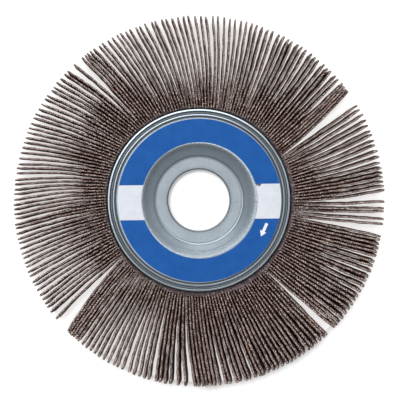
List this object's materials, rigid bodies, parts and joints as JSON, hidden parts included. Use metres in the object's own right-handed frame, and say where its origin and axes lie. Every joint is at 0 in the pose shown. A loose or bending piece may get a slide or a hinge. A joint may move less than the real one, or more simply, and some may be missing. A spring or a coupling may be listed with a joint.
{
  "type": "flap wheel",
  "caption": "Unmounted flap wheel: abrasive cloth flaps edge-on round a resin core, between two dished, beaded steel flanges with a plain bore.",
  "frame": {"origin": "on the bore's axis, halfway between the two sides of the flaps", "axes": "+Z along the bore axis, out of the labelled side; +X to the right as the label is read"},
  "size_m": [0.1524, 0.1524, 0.028],
  "materials": {
    "abrasive_cloth": "coarse brown abrasive grain on cloth, roots set in dark cast resin",
    "zinc_plated_steel": "pressed steel sheet, satin zinc plating",
    "printed_paper": "smooth printed ring in plain blue and white fields"
  },
  "bodies": {
    "root": {"flap_pack": "abrasive_cloth", "front_flange": "zinc_plated_steel", "rear_flange": "zinc_plated_steel", "bore_sleeve": "zinc_plated_steel", "front_label": "printed_paper"}
  },
  "joints": []
}
